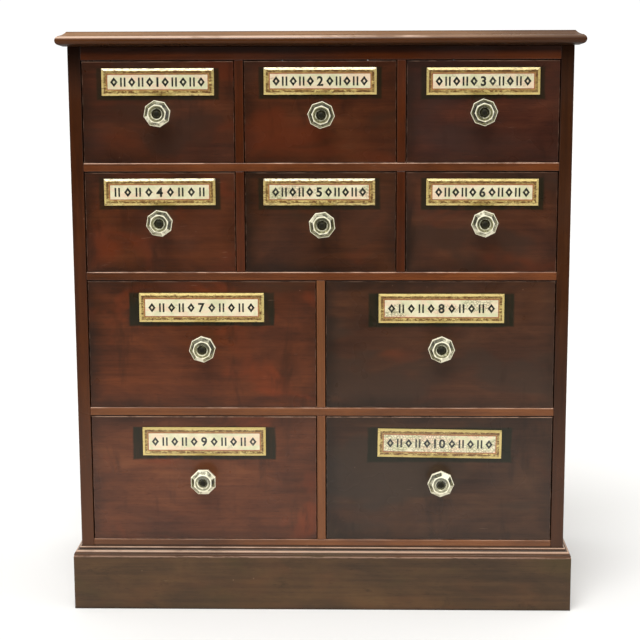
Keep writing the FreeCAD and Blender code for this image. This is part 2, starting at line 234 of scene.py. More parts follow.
def grain_space(s, grain, seed):
    """Coordinates with x along the grain, moved by seed so that no two boards match."""
    x, y, z = s.parts(s.place)
    if grain == "Z":
        x, z = z, x
    elif grain == "Y":
        x, y = y, x
    elif grain == "ROUND":  # along X on the front, along Y on the sides
        nx, ny, _ = s.facing()
        side = s.math("GREATER_THAN", s.math("ABSOLUTE", nx), s.math("ABSOLUTE", ny))
        front = s.minus(1.0, side)
        along = s.plus(s.times(x, front), s.times(y, side))
        y = s.plus(s.times(y, front), s.times(x, side))
        x = along
    return s.vector("ADD", s.joined(x, y, z), (seed * 1.37, seed * 0.71, seed * 2.13))


def graded(s, tones):
    """The colour of the wood's tone between four shades."""
    return s.ramp(s.tone, list(zip(TONE_STOPS, tones)))


def wood(name, grain, tones, seed, mottle, streak, polish, rough, pores=0.5):
    """Grain, mottling, pores and an uneven polish. Returns the shader, its colour and its place."""
    s = Shader(name)
    place = grain_space(s, grain, seed)
    broad = s.noise(place, (2.2, 4.0, 5.0), 2.0)
    blotch = s.noise(place, (9.0, 22.0, 22.0), 4.0, 0.6, 0.6)
    lines = s.noise(place, (5.0, 170.0, 170.0), 5.0, 0.65, 0.3)
    tone = s.times(s.minus(broad, 0.5), 0.9)
    tone = s.plus(tone, s.times(s.minus(blotch, 0.5), mottle * 2))
    tone = s.plus(tone, s.times(s.minus(lines, 0.5), streak * 2))
    tone = s.plus(tone, 0.5, clamp=True)
    s.tone = tone
    colour = graded(s, tones)
    pore = s.noise(place, (70.0, 1500.0, 1500.0), 2.0, 0.5)
    pore = s.span(pore, 0.60, 0.72)
    colour = s.mix(s.times(pore, pores), colour, s.mix(0.75, colour, (0.0, 0.0, 0.0)))
    smudge = s.noise(place, 9.0, 3.0)
    s.set(Roughness=s.span(smudge, 0.3, 0.7, rough - 0.06, rough + 0.12))
    s.set(Coat_Weight=polish, Coat_Roughness=0.16, Specular_IOR_Level=SHEEN)
    height = s.minus(s.times(lines, 0.25), s.times(pore, 0.6))
    s.bump(height, 0.25, 0.0004)
    return s, colour, place


def worn_upward(s, colour, place):
    """Polish rubbed away along the upper arrises, most of all at hand height; as it follows the faces
    that look up, it is also a painted highlight.
    """
    up = s.facing()[2]
    patchy = s.noise(place, (17.0, 60.0, 60.0), 3.0, 0.7)
    share = s.times(s.span(up, 0.15, 0.5), s.span(patchy, 0.40, 0.58, 0.25, 0.95))
    height = s.parts(s.place)[2]
    share = s.times(share, s.span(height, *HAND_HEIGHT, 0.25, 1.0))
    return s.mix(share, colour, BARE_AND_HIGHLIGHT)


def scratched(s, colour, place, amount=0.5, turn=4.0):
    """A few fine pale scratches and tiny nicks."""
    turned = s.turned(place, turn)
    line = s.noise(turned, (34.0, 8.0, 900.0), 2.0, 0.4)
    rare = s.noise(place, 23.0, 1.0)
    mark = s.times(s.span(line, 0.70, 0.75), s.span(rare, 0.66, 0.73))
    nick = s.cells(place, 75.0, "F1")
    chance = s.noise(place, 31.0, 1.0)
    nicks = s.times(s.span(nick, 0.09, 0.04), s.span(chance, 0.64, 0.70))
    both = s.math("MAXIMUM", mark, s.times(nicks, 0.7))
    return s.mix(s.times(both, amount), colour, WORN)


def insets(s, x, z, half_x, half_z):
    """How far in from a rectangle's nearest side, and from its top or bottom, x and z are."""
    dx = s.minus(half_x, s.math("ABSOLUTE", x))
    dz = s.minus(half_z, s.math("ABSOLUTE", z))
    return s.math("MINIMUM", dx, dz), dz


def edge_distance(s, low, high, waver):
    """insets for a board's face between low and high, with the first one wavering."""
    half = (high - low) / 2
    x, _, z = s.parts(s.vector("SUBTRACT", s.place, tuple((low + high) / 2)))
    near, dz = insets(s, x, z, half.x, half.z)
    wobble = s.noise(s.place, 40.0, 4.0, 0.6)
    near = s.plus(near, s.times(s.minus(wobble, 0.5), waver * 2))
    return near, dz


# How each drawer front differs: its middle colour, its warmer patches, its grey, its grime, and
# how bare its upper arris is where that isn't FRONT_ARRIS. The middle colours, the warm patches
# and the grey also hold painted light: lighter and warmer on the left and on the lower rows,
# greyer with a painted sheen on the right.
FRONT_ARRIS = 0.22
FRONT_LOOKS = {
    "drawer_01": dict(base=(0.073, 0.021, 0.009), red=0.35, grey=0.30, grime=0.50),
    "drawer_02": dict(base=(0.074, 0.021, 0.008), red=0.50, grey=0.15, grime=0.45),
    "drawer_03": dict(base=(0.071, 0.021, 0.011), red=0.25, grey=0.45, grime=0.55),
    "drawer_04": dict(base=(0.090, 0.025, 0.009), red=0.50, grey=0.15, grime=0.65),
    "drawer_05": dict(base=(0.066, 0.022, 0.009), red=0.35, grey=0.25, grime=0.70),
    "drawer_06": dict(base=(0.072, 0.024, 0.011), red=0.25, grey=0.40, grime=0.55),
    "drawer_07": dict(base=(0.126, 0.033, 0.010), red=0.45, grey=0.15, grime=0.70),
    "drawer_08": dict(base=(0.074, 0.028, 0.013), red=0.10, grey=0.45, grime=0.65),
    "drawer_09": dict(base=(0.118, 0.036, 0.014), red=0.40, grey=0.10, grime=0.50, arris=0.85),
    "drawer_10": dict(base=(0.062, 0.027, 0.013), red=0.15, grey=0.45, grime=0.60, arris=0.85),
}
PATCH_SIDE = 15 * MM     # how far the painted patch reaches beyond a large label, each side
PATCH_LOWER = 6.5 * MM


def painted_patch(s, colour, name):
    """The blackish-green painted panel that each label sits on, with brushed edges."""
    low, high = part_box(f"{name}_label")
    large = high.x - low.x > LARGE_LABEL
    side = PATCH_SIDE if large else PATCH_SIDE * 0.5
    low = Vector((low.x - side, low.y, low.z - PATCH_LOWER))
    high = Vector((high.x + side, high.y, high.z + 1 * MM))
    near, _ = edge_distance(s, low, high, 2.2 * MM)
    thin = s.noise(s.place, (110.0, 20.0, 14.0), 4.0, 0.6)
    cover = s.span(thin, 0.25, 0.62, 0.70 if large else 0.45, 0.97 if large else 0.85)
    share = s.times(s.span(near, -1.5 * MM, 2.2 * MM), cover)
    return s.mix(share, colour, PATCH_PAINT)


def drawer_front(name, seed):
    """Figured wood with warm and dull patches, grime round the edge, scratches, bare arrises and painted
    shade on its upper face.
    """
    look = FRONT_LOOKS[name]
    red, green, blue = look["base"]
    tones = shades(red, green, blue)
    s, colour, place = wood(f"{name}_mahogany", "X", tones, seed,
                            mottle=0.56, streak=0.32, polish=0.18, rough=0.30)
    patches = s.noise(place, (7.0, 11.0, 11.0), 3.0, 0.55, 0.8)
    warm = s.span(patches, 0.62 - 0.26 * look["red"], 0.78 - 0.26 * look["red"], 0.0, 0.75)
    colour = s.mix(warm, colour, (red * 1.52, green * 1.10, blue * 0.88))
    # Grey patches: dull polish, and a painted sheen on the right-hand drawers, which get more of them.
    dull = s.noise(place, (5.0, 9.0, 13.0), 3.0, 0.6, 0.5)
    grey = s.span(dull, 0.60 - 0.25 * look["grey"], 0.76 - 0.25 * look["grey"], 0.0, 0.80)
    colour = s.mix(grey, colour, (red * 0.60, green * 0.88, blue * 1.15))
    smear = s.noise(place, (26.0, 20.0, 7.0), 4.0, 0.6, 0.3)
    colour = s.mix(s.span(smear, 0.54, 0.70, 0.0, 0.65), colour, (red * 0.34, green * 0.42, blue * 0.5))
    low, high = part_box(f"{name}_front")
    near, dz = edge_distance(s, low, high, 9 * MM)
    across, _, upward = s.parts(s.place)
    grime = s.span(near, 26 * MM, -4 * MM, 0.0, look["grime"])
    colour = s.mix(s.times(grime, s.span(across, low.x, high.x, 1.0, 0.45)), colour, GRIME)
    colour = painted_patch(s, colour, name)
    colour = scratched(s, colour, place, 0.30, 9.0 * math.sin(5 * seed))
    arris, _ = edge_distance(s, low, high, 0.7 * MM)
    rub = s.noise(place, (30.0, 90.0, 90.0), 3.0, 0.7)
    rubbed = s.times(s.span(arris, 1.3 * MM, 0.2 * MM), s.span(rub, 0.45, 0.62))
    colour = s.mix(s.times(rubbed, FRONT_ARRIS), colour, WORN)
    # Painted shade: the front's upper face, under the rail above, is darkened.
    colour = s.mix(s.span(s.facing()[2], 0.3, 0.8, 0.0, 0.85), colour, SHADE_AND_DIRT)
    top_edge = s.band(dz, -0.2 * MM, 0.3 * MM, 0.9 * MM, 1.6 * MM)
    top_edge = s.times(top_edge, s.math("GREATER_THAN", upward, (low.z + high.z) / 2))
    top_edge = s.times(top_edge, s.span(rub, 0.38, 0.55, 0.2, 1.0))
    colour = s.mix(s.times(top_edge, look.get("arris", FRONT_ARRIS)), colour, WORN)
    s.set(Base_Color=colour)
    return s.material


# Paler tones for the faces that look up: fading, and painted light from the lamp above.
FADED_AND_LIT_STOPS = [(0.2, (0.170, 0.075, 0.027)), (0.5, (0.280, 0.142, 0.062)), (0.8, (0.380, 0.212, 0.108))]
TOP_HIGHLIGHT_BAND = (6.2 * MM, 6.9 * MM, 8.4 * MM, 9.6 * MM)   # the painted highlight's band, down from the top


def top_mahogany():
    """The moulded top: paler where it looks up, from fading and painted light; a painted highlight along
    the arris; dark red-brown round the nose, and painted shade underneath.
    """
    s, colour, place = wood("top_mahogany", "ROUND", TOP_TONES, 3,
                            mottle=0.25, streak=0.30, polish=0.15, rough=0.28)
    faded_and_lit = s.ramp(s.tone, FADED_AND_LIT_STOPS)
    up = s.facing()[2]
    x, _, height = s.parts(s.place)
    drop = s.minus(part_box("top_board")[1].z, height)
    # Fading and painted light on the faces that look up.
    colour = s.mix(s.span(up, 0.30, 0.62), colour, faded_and_lit)
    flat = s.span(up, 0.985, 0.998)
    colour = s.mix(s.times(flat, 0.62), colour, (0.070, 0.024, 0.006))
    # A painted highlight along the arris, strongest on the left.
    line = s.band(drop, *TOP_HIGHLIGHT_BAND)
    rub = s.noise(place, (9.0, 40.0, 40.0), 4.0, 0.7)
    rub = s.plus(rub, s.span(x, 0.25, -0.20, -0.12, 0.14))
    share = s.times(line, s.span(rub, 0.40, 0.60, 0.15, 1.0))
    colour = s.mix(share, colour, (0.66, 0.46, 0.34))
    below = s.span(drop, 9.4 * MM, 11.0 * MM, 0.0, 0.55)
    colour = s.mix(below, colour, s.mix(0.5, colour, (0.095, 0.032, 0.006)))
    ends = s.times(s.span(x, 0.10, 0.36, 0.0, 0.72), s.minus(1.0, flat))
    colour = s.mix(ends, colour, (0.060, 0.024, 0.010))
    # Painted shade on the faces that look down.
    colour = s.mix(s.span(up, -0.50, -0.9, 0.0, 0.70), colour, SHADE_AND_DIRT)
    s.set(Specular_IOR_Level=s.span(up, -0.60, 0.15, 0.12, SHEEN))
    polish = s.plus(s.span(up, -0.35, 0.15, 0.0, 0.15), s.times(flat, 0.35))
    s.set(Coat_Weight=polish)
    s.set(Base_Color=scratched(s, colour, place, 0.35))
    return s.material


def rail_mahogany():
    """Rails: warm and rubbed along their upper arrises, partly a painted highlight; painted paler
    downwards, the top one in painted shade under the overhang.
    """
    s, colour, place = wood("rail_mahogany", "X", RAIL_TONES, 13,
                            mottle=0.40, streak=0.42, polish=0.15, rough=0.34)
    height = s.parts(s.place)[2]
    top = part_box("front_rails")[1].z
    lower = graded(s, LIT_LOWER_RAIL_TONES)
    colour = s.mix(s.span(height, *LOWER_RAILS), colour, lower)
    colour = worn_upward(s, colour, place)
    # Painted shade: the top rail takes the shaded tones.
    dark = graded(s, SHADED_RAIL_TONES)
    top_rail_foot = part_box("drawer_01_front")[1].z + 1 * MM
    colour = s.mix(s.math("GREATER_THAN", height, top_rail_foot), colour, dark)
    # Painted shadow of the top's overhang, darkest just under it.
    colour = s.mix(s.span(height, top - 13 * MM, top - 5 * MM, 0.0, 0.75), colour, SHADE_AND_DIRT)
    # Painted shade on the faces that look down.
    colour = s.mix(s.span(s.facing()[2], -0.3, -0.8, 0.0, 0.85), colour, SHADE_AND_DIRT)
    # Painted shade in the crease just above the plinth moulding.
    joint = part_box("plinth_moulding")[1].z
    colour = s.mix(s.span(height, joint + 2.4 * MM, joint + 0.4 * MM, 0.0, 0.6), colour, SHADE_AND_DIRT)
    s.set(Base_Color=scratched(s, colour, place, 0.35))
    return s.material


def muntin_mahogany():
    """Uprights between the drawers: painted light, darker between the small ones and lighter between the
    large.
    """
    s, colour, place = wood("muntin_mahogany", "Z", SHADED_RAIL_TONES, 21,
                            mottle=0.30, streak=0.40, polish=0.12, rough=0.34)
    height = s.parts(s.place)[2]
    lower = graded(s, LIT_LOWER_RAIL_TONES)
    colour = s.mix(s.span(height, *LARGE_ROWS), colour, lower)
    side = s.math("ABSOLUTE", s.facing()[0])
    rub = s.noise(s.place, (60.0, 60.0, 18.0), 3.0, 0.7)
    share = s.times(s.span(side, 0.3, 0.6), s.span(rub, 0.42, 0.60, 0.1, 0.6))
    colour = s.mix(share, colour, (0.24, 0.10, 0.045))
    s.set(Base_Color=scratched(s, colour, place, 0.3))
    return s.material


def side_mahogany(name, tones, foot_light, shaded, seed):
    """Upright side panels: painted paler towards the plinth as painted light, and almost black with
    painted shade under the top's overhang.
    """
    s, colour, place = wood(name, "Z", tones, seed,
                            mottle=0.40, streak=0.46, polish=0.10, rough=0.30)
    height = s.parts(s.place)[2]
    # Painted light: paler towards the foot.
    colour = s.mix(s.span(height, *PALER_FOOT, foot_light, 0.0), colour, (0.095, 0.036, 0.013))
    # Painted shade under the top's overhang.
    colour = s.mix(s.span(height, *OVERHANG_SHADE, 0.0, shaded), colour, SHADE_AND_DIRT)
    s.set(Specular_IOR_Level=s.span(height, *OVERHANG_DULL, SHEEN, 0.08))
    s.set(Base_Color=scratched(s, colour, place, 0.4))
    return s.material


def plinth_mahogany(name, tones, seed):
    """Duller, dustier polish with dark blotches. Returns the shader, its colour and its place."""
    s, colour, place = wood(name, "ROUND", tones, seed,
                            mottle=0.45, streak=0.30, polish=0.10, rough=0.42)
    stain = s.noise(place, (14.0, 14.0, 30.0), 5.0, 0.7, 0.5)
    colour = s.mix(s.span(stain, 0.56, 0.72, 0.0, 0.6), colour, (0.020, 0.013, 0.006))
    warm = s.noise(place, (6.0, 9.0, 16.0), 3.0, 0.6, 0.4)
    colour = s.mix(s.span(warm, 0.50, 0.68, 0.0, 0.35), colour, (0.120, 0.046, 0.016))
    olive = s.noise(place, (5.0, 9.0, 12.0), 3.0, 0.6, 0.4)
    colour = s.mix(s.span(olive, 0.52, 0.70, 0.0, 0.6), colour, (0.066, 0.044, 0.012))
    return s, colour, place


def plinth_face():
    """Darker along its foot, next to the floor, and rubbed along its upper arris."""
    s, colour, place = plinth_mahogany("plinth_mahogany", PLINTH_TONES, 4)
    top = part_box("plinth_boards")[1].z
    height = s.parts(s.place)[2]
    # Darker within a few millimetres of the floor.
    colour = s.mix(s.span(height, 5 * MM, 0.0, 0.0, 0.5), colour, SHADE_AND_DIRT)
    arris = s.span(height, top - 1.6 * MM, top - 0.3 * MM)
    rub = s.noise(place, (22.0, 60.0, 60.0), 3.0, 0.7)
    share = s.times(arris, s.span(rub, 0.38, 0.55, 0.1, 0.5))
    colour = s.mix(share, colour, WORN)
    s.set(Base_Color=scratched(s, colour, place, 0.4))
    return s.material


# The grooves of the plinth moulding: where each starts and ends, in millimetres down from its top,
# and how much painted shade darkens it.
SHADED_QUIRKS = ((-1.0, 1.7, 0.55), (3.5, 6.0, 0.85), (9.4, 11.3, 0.70))


def plinth_mouldings():
    """Bare along the bead, the top of the ovolo and the lowest arris, partly as a painted highlight on
    the faces that look up, and painted shade in the quirks.
    """
    s, colour, place = plinth_mahogany("moulding_mahogany", MOULDING_TONES, 6)
    drop = s.minus(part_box("plinth_moulding")[1].z, s.parts(s.place)[2])
    up = s.facing()[2]
    rub = s.noise(place, (22.0, 60.0, 60.0), 3.0, 0.7)
    # Faces that look up are made pale: rubbed wood and a painted highlight.
    bare = s.span(up, 0.50, 0.78)
    bare = s.times(bare, s.span(drop, 1.2 * MM, 1.6 * MM))
    share = s.times(bare, s.span(rub, 0.32, 0.55, 0.6, 1.0))
    colour = s.mix(share, colour, (0.56, 0.37, 0.26))
    arris = s.times(s.span(drop, 12.9 * MM, 13.5 * MM), s.span(rub, 0.40, 0.52, 0.05, 0.45))
    colour = s.mix(arris, colour, WORN)
    # Painted shade in the quirks.
    for start, end, share in SHADED_QUIRKS:
        quirk = s.band(drop, (start - 0.3) * MM, (start + 0.3) * MM, (end - 0.3) * MM, (end + 0.2) * MM)
        colour = s.mix(s.times(quirk, share), colour, (0.022, 0.010, 0.005))
    s.set(Base_Color=colour)
    return s.material


def bare_pine(name, grain, tones, seed):
    """Unpolished, with knots and age in the grain."""
    s, colour, place = wood(name, grain, tones, seed,
                            mottle=0.30, streak=0.55, polish=0.0, rough=0.62, pores=0.15)
    rings = s.cells(place, (2.6, 7.0, 7.0), "F1")
    knot = s.span(rings, 0.13, 0.04, 0.0, 0.85)
    colour = s.mix(knot, colour, (0.09, 0.042, 0.018))
    dust = s.noise(place, 6.0, 5.0, 0.65)
    colour = s.mix(s.span(dust, 0.52, 0.75, 0.0, 0.45), colour, (0.13, 0.095, 0.065))
    s.set(Base_Color=colour)
    return s, colour


BACK_BOARDS = 5


def back_pine():
    """Sawn boards, each of its own tone, with black joints between them and stains at the foot."""
    s, colour = bare_pine("back_pine", "Z", BACK_TONES, 15)
    low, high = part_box("back_boards")
    x, _, z = s.parts(s.place)
    across = s.times(s.minus(x, low.x), BACK_BOARDS / (high.x - low.x))
    board = s.math("FLOOR", across)
    tint = s.noise(s.joined(s.times(board, 3.7), 0.5, 0.5), 1.0, 0.0)
    colour = s.mix(s.span(tint, 0.35, 0.65, 0.0, 0.45), colour, (0.105, 0.060, 0.032))
    part = s.minus(across, board)
    joint = s.minus(0.5, s.math("ABSOLUTE", s.minus(part, 0.5)))
    colour = s.mix(s.span(joint, 0.016, 0.004, 0.0, 0.75), colour, SHADE_AND_DIRT)
    stain = s.noise(s.place, (7.0, 7.0, 16.0), 4.0, 0.6)
    foot = s.plus(z, s.times(stain, 0.25))
    colour = s.mix(s.span(foot, 0.34, 0.16, 0.0, 0.6), colour, (0.050, 0.030, 0.018))
    s.set(Base_Color=colour)
    return s.material


# ---- glass, metal, labels --------------------------------------------------------------------
# How milky each knob's bevels look, and how much painted light its upper and lower facets get.
KNOB_LOOKS = {
    "drawer_01": dict(cloud=0.45, upper=0.30, lower=0.80),
    "drawer_02": dict(cloud=0.25, upper=0.15, lower=0.25),
    "drawer_03": dict(cloud=0.20, upper=0.10, lower=0.20),
    "drawer_04": dict(cloud=0.45, upper=0.40, lower=0.90),
    "drawer_05": dict(cloud=0.35, upper=0.70, lower=1.00),
    "drawer_06": dict(cloud=0.35, upper=0.70, lower=0.95),
    "drawer_07": dict(cloud=0.45, upper=0.25, lower=0.95),
    "drawer_08": dict(cloud=0.55, upper=0.80, lower=1.00),
    "drawer_09": dict(cloud=0.70, upper=0.75, lower=1.00),
    "drawer_10": dict(cloud=0.70, upper=0.90, lower=1.00),
}
GLASS_CREAM = (0.97, 0.92, 0.70)
GLASS_OLIVE = (0.30, 0.30, 0.13)
PAINTED_GLOW = 0.14     # a painted glow: how much the milky glass emits, for the light it passes on from all round
# Places on a knob: distances from its middle, then depths behind its flat table.
TABLE_RING = (6.9 * MM, 7.5 * MM, 8.0 * MM, 8.7 * MM)
TABLE_HAZE = (5.6 * MM, 8.0 * MM)
TABLE_RIM = (10.6 * MM, 11.9 * MM)
TABLE_ARRIS = (0.9 * MM, 0.4 * MM)
GIRDLE = (5.1 * MM, 5.9 * MM)
NECK = (11 * MM, 14 * MM)


def knob_glass(name, seed):
    """Old pressed glass: clear in its depth, milky and yellowish along its arrises and bevels, with
    painted light on its facets, rings and arrises.
    """
    look = KNOB_LOOKS[name]
    s = Shader(f"{name}_glass")
    low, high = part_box(f"{name}_knob")
    middle = (low + high) / 2
    x, y, z = s.parts(s.vector("SUBTRACT", s.place, (middle.x, low.y, middle.z)))
    nx, ny, nz = s.facing()
    wave = s.noise(s.place, 110.0, 3.0, 0.6)
    wobble = s.times(s.minus(wave, 0.5), 1.2 * MM)
    ring = s.plus(s.radius(x, z), wobble)
    flat = s.span(ny, -0.93, -0.985)
    # Painted light: pale rings on the table for what the glass refracts, paler towards the bottom.
    pale = s.band(ring, *TABLE_RING)
    pale = s.times(pale, s.span(wave, 0.38, 0.58, 0.25, 1.0))
    pale = s.times(pale, s.span(z, 6 * MM, -5 * MM, 0.30, 0.75))
    on_table = s.math("MAXIMUM", pale, s.times(s.span(ring, *TABLE_RIM), 0.80))
    haze = s.span(ring, *TABLE_HAZE, 0.02, look["cloud"] * 0.40)
    on_table = s.plus(on_table, haze, clamp=True)
    depth = s.plus(y, s.times(wobble, 0.5))
    # Painted reflection: the girdle and the table's arris are made milky.
    arrises = s.math("MAXIMUM", s.span(depth, *GIRDLE), s.span(depth, *TABLE_ARRIS))
    # Painted light: facets that look up and down are made milky and bright.
    upper = s.span(nz, 0.15, 0.60, 0.0, look["upper"])
    lower = s.span(nz, -0.10, -0.50, 0.0, look["lower"])
    facet = s.math("MAXIMUM", upper, lower)
    # Painted glints: each facet's direction picks its own brightness.
    facing = s.joined(s.times(nx, 2.9), seed, s.times(nz, 2.9))
    painted_glint = s.noise(facing, 1.0, 0.0)
    facet = s.times(facet, s.span(painted_glint, 0.38, 0.56, 0.30, 1.15))
    facet = s.times(facet, s.span(wave, 0.36, 0.56, 0.45, 1.0))
    facet = s.plus(facet, s.times(s.span(wave, 0.45, 0.65), look["cloud"] * 0.4))
    facet = s.math("MAXIMUM", facet, arrises)
    milk_and_painted_light = s.plus(s.times(on_table, flat), s.times(facet, s.minus(1.0, flat)), clamp=True)
    milk_and_painted_light = s.times(milk_and_painted_light, s.minus(1.0, s.times(s.span(y, *NECK), 0.6)))
    s.set(Base_Color=s.mix(milk_and_painted_light, GLASS_OLIVE, GLASS_CREAM), IOR=1.50)
    s.set(Transmission_Weight=s.span(milk_and_painted_light, 0.0, 1.0, 0.95, 0.05))
    # Painted glow: the glass emits light where it is milky.
    s.set(Emission_Color=GLASS_CREAM, Emission_Strength=s.times(milk_and_painted_light, PAINTED_GLOW))
    s.set(Roughness=s.span(wave, 0.3, 0.7, 0.12, 0.22), Specular_IOR_Level=0.4)
    s.set(Coat_Weight=s.span(milk_and_painted_light, 0.0, 0.6, 0.15, 1.0), Coat_Roughness=0.03)
    s.bump(wave, 0.2, 0.0008)
    return s.material


BRASS_STOPS = [(0.35, (0.006, 0.005, 0.003)), (0.6, (0.020, 0.018, 0.009)), (0.8, (0.04, 0.034, 0.018))]
IRON_STOPS = [(0.35, (0.016, 0.013, 0.012)), (0.6, (0.060, 0.030, 0.018)), (0.8, (0.16, 0.065, 0.028))]


def tarnished_brass(name):
    """Almost black, paler round the edge of the bolt's head: painted light standing for the grey ring
    that the glass shows there.
    """
    s = Shader(f"{name}_brass")
    spots = s.noise(s.place, 700.0, 4.0, 0.7)
    colour = s.ramp(spots, BRASS_STOPS)
    low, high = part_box(f"{name}_knob_bolt")
    middle = (low + high) / 2
    x, _, z = s.parts(s.vector("SUBTRACT", s.place, (middle.x, 0.0, middle.z)))
    # Painted light: the head's outer ring is made pale olive.
    rim = s.span(s.radius(x, z), 3.0 * MM, 4.6 * MM, 0.0, 0.6)
    colour = s.mix(rim, colour, (0.085, 0.080, 0.040))
    s.set(Base_Color=colour, Metallic=s.span(spots, 0.5, 0.8, 0.1, 0.8), Specular_IOR_Level=0.20)
    s.set(Roughness=s.span(spots, 0.3, 0.7, 0.60, 0.40))
    s.bump(spots, 0.3, 0.0003)
    return s.material


def rusted_iron():
    """Dark iron with rust in spots."""
    s = Shader("rusted_iron")
    spots = s.noise(s.place, 500.0, 4.0, 0.7)
    metal = s.span(spots, 0.4, 0.6, 0.7, 0.1)
    s.set(Base_Color=s.ramp(spots, IRON_STOPS), Metallic=metal, Roughness=0.6)
    s.bump(spots, 0.4, 0.0004)
    return s.material


GOLD = (0.76, 0.60, 0.22)
PALE_GOLD = (0.66, 0.59, 0.41)
DULL_GOLD = (0.42, 0.33, 0.12)
OCHRE = (0.17, 0.078, 0.012)
RUST = (0.125, 0.040, 0.012)
CREAM = (0.92, 0.84, 0.58)
RED_LINE = (0.42, 0.12, 0.045)
INK = (0.012, 0.014, 0.010)
# Bands of a label's painting, as distances in from the plate's edge.
BEVEL_W = 3.2 * MM
THIN_GOLD_BAND = (6.2 * MM, 6.6 * MM, 7.2 * MM, 7.6 * MM)
RED_LINE_BAND = (7.2 * MM, 7.6 * MM, 8.7 * MM, 9.1 * MM)
PANEL_EDGE = (8.6 * MM, 9.0 * MM)
LABEL_HEIGHTS = {False: 37.8 * MM, True: 42.2 * MM}   # by whether the plate is a large one
# How much the gilding and the painted panel have flaked, how crazed the panel is, and whether
# the gilding has paled along the top.
LABEL_LOOKS = {
    "drawer_01": dict(flake=0.60, craze=0.30, pale=True),
    "drawer_02": dict(flake=0.40, craze=0.20, pale=True),
    "drawer_03": dict(flake=0.35, craze=0.40, pale=False),
    "drawer_04": dict(flake=0.55, craze=0.10, pale=True),
    "drawer_05": dict(flake=0.85, craze=0.60, pale=True),
    "drawer_06": dict(flake=0.50, craze=0.25, pale=False),
    "drawer_07": dict(flake=0.45, craze=0.30, pale=False),
    "drawer_08": dict(flake=0.35, craze=0.55, pale=False),
    "drawer_09": dict(flake=0.15, craze=0.20, pale=False),
    "drawer_10": dict(flake=0.30, craze=1.00, pale=False),
}


def label_frame(name):
    """A label plate's middle, half width, half height and tilt in degrees."""
    corners = [v.co for v in NODES[f"{name}_label"].data.vertices]
    left = max(corners, key=lambda c: c.z - c.x)
    right = max(corners, key=lambda c: c.z + c.x)
    low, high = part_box(f"{name}_label")
    half_x = (right - left).length / 2
    tilt = math.degrees(math.atan2(right.z - left.z, right.x - left.x))
    return (low + high) / 2, half_x, LABEL_HEIGHTS[half_x * 2 > LARGE_LABEL] / 2, tilt


def gilt_label(name, seed):
    """Painting behind the glass: gilt bevel, flaking ochre band, red line and cream panel."""
    look = LABEL_LOOKS[name]
    s = Shader(f"{name}_gilding")
    middle, half_x, half_z, tilt = label_frame(name)
    local = s.turned(s.vector("SUBTRACT", s.place, tuple(middle)), tilt)
    x, _, z = s.parts(local)
    near, _ = insets(s, x, z, half_x, half_z)
    seeded = s.vector("ADD", local, (seed * 0.31, seed * 0.17, seed * 0.53))
    ragged = s.noise(seeded, 420.0, 4.0, 0.7)
    ragged = s.times(s.minus(ragged, 0.5), 1.6 * MM)
    loose = s.plus(near, ragged)
    flakes = s.noise(seeded, (170.0, 170.0, 420.0), 6.0, 0.75, 0.4)
    gone = s.span(flakes, 0.62 - 0.14 * look["flake"], 0.68 - 0.14 * look["flake"])
    tarnish = s.noise(seeded, 60.0, 3.0)
    gold = s.mix(s.span(tarnish, 0.35, 0.7, 0.0, 0.45), GOLD, (0.66, 0.44, 0.11))
    above = s.span(z, half_z - 4 * MM, half_z - 2 * MM, 0.0, 0.75)
    gold = s.mix(above, gold, PALE_GOLD if look["pale"] else DULL_GOLD)
    gold = s.mix(s.times(gone, 0.8), gold, OCHRE)
    mottled = s.mix(s.span(flakes, 0.44, 0.54, 0.0, 1.0), gold, OCHRE)
    specks = s.noise(seeded, 700.0, 3.0, 0.7)
    mottled = s.mix(s.span(specks, 0.54, 0.64, 0.0, 0.65), mottled, (0.070, 0.034, 0.008))
    mottled = s.mix(s.span(tarnish, 0.46, 0.60, 0.0, 0.55), mottled, RUST)
    upper = s.times(s.span(z, 0.0, half_z * 0.5), s.span(loose, 3.6 * MM, 5.0 * MM))
    mottled = s.mix(s.times(upper, 0.55), mottled, RUST)
    colour = s.mix(s.span(loose, BEVEL_W - 0.4 * MM, BEVEL_W + 0.6 * MM), gold, mottled)
    thin_gold = s.band(loose, *THIN_GOLD_BAND)
    colour = s.mix(s.times(thin_gold, 0.45), colour, (0.62, 0.42, 0.12))
    red = s.band(near, *RED_LINE_BAND)
    colour = s.mix(s.times(red, s.span(flakes, 0.62, 0.5, 0.25, 0.9)), colour, RED_LINE)
    stain = s.noise(seeded, 45.0, 5.0, 0.6)
    panel = s.mix(s.span(stain, 0.40, 0.62, 0.0, 0.8), CREAM, (0.70, 0.70, 0.42))
    blush = s.noise(seeded, (30.0, 90.0, 90.0), 3.0)
    panel = s.mix(s.span(blush, 0.48, 0.64, 0.0, 0.7), panel, (0.94, 0.68, 0.48))
    cracks = s.cells(seeded, (230.0, 230.0, 330.0))
    crazed = s.noise(seeded, (26.0, 26.0, 50.0), 3.0)
    where = s.span(crazed, 0.70 - 0.36 * look["craze"], 0.82 - 0.36 * look["craze"])
    broken = s.times(s.span(cracks, 0.16, 0.03), where)
    crumbs = s.times(s.span(flakes, 0.56, 0.64), s.span(where, 0.0, 1.0, 0.12, 0.8))
    broken = s.math("MAXIMUM", s.times(broken, 0.7), crumbs)
    panel = s.mix(broken, panel, (0.25, 0.22, 0.11))
    inside = s.span(s.plus(near, s.times(ragged, 0.35)), *PANEL_EDGE)
    colour = s.mix(inside, colour, panel)
    metal = s.times(s.span(loose, BEVEL_W + 1.5 * MM, BEVEL_W), s.span(gone, 1.0, 0.0))
    s.set(Base_Color=colour, Metallic=s.times(metal, 0.6))
    s.set(Roughness=s.span(flakes, 0.4, 0.7, 0.34, 0.55), Coat_Weight=0.6, Coat_Roughness=0.06)
    s.bump(flakes, 0.15, 0.0003)
    return s.material


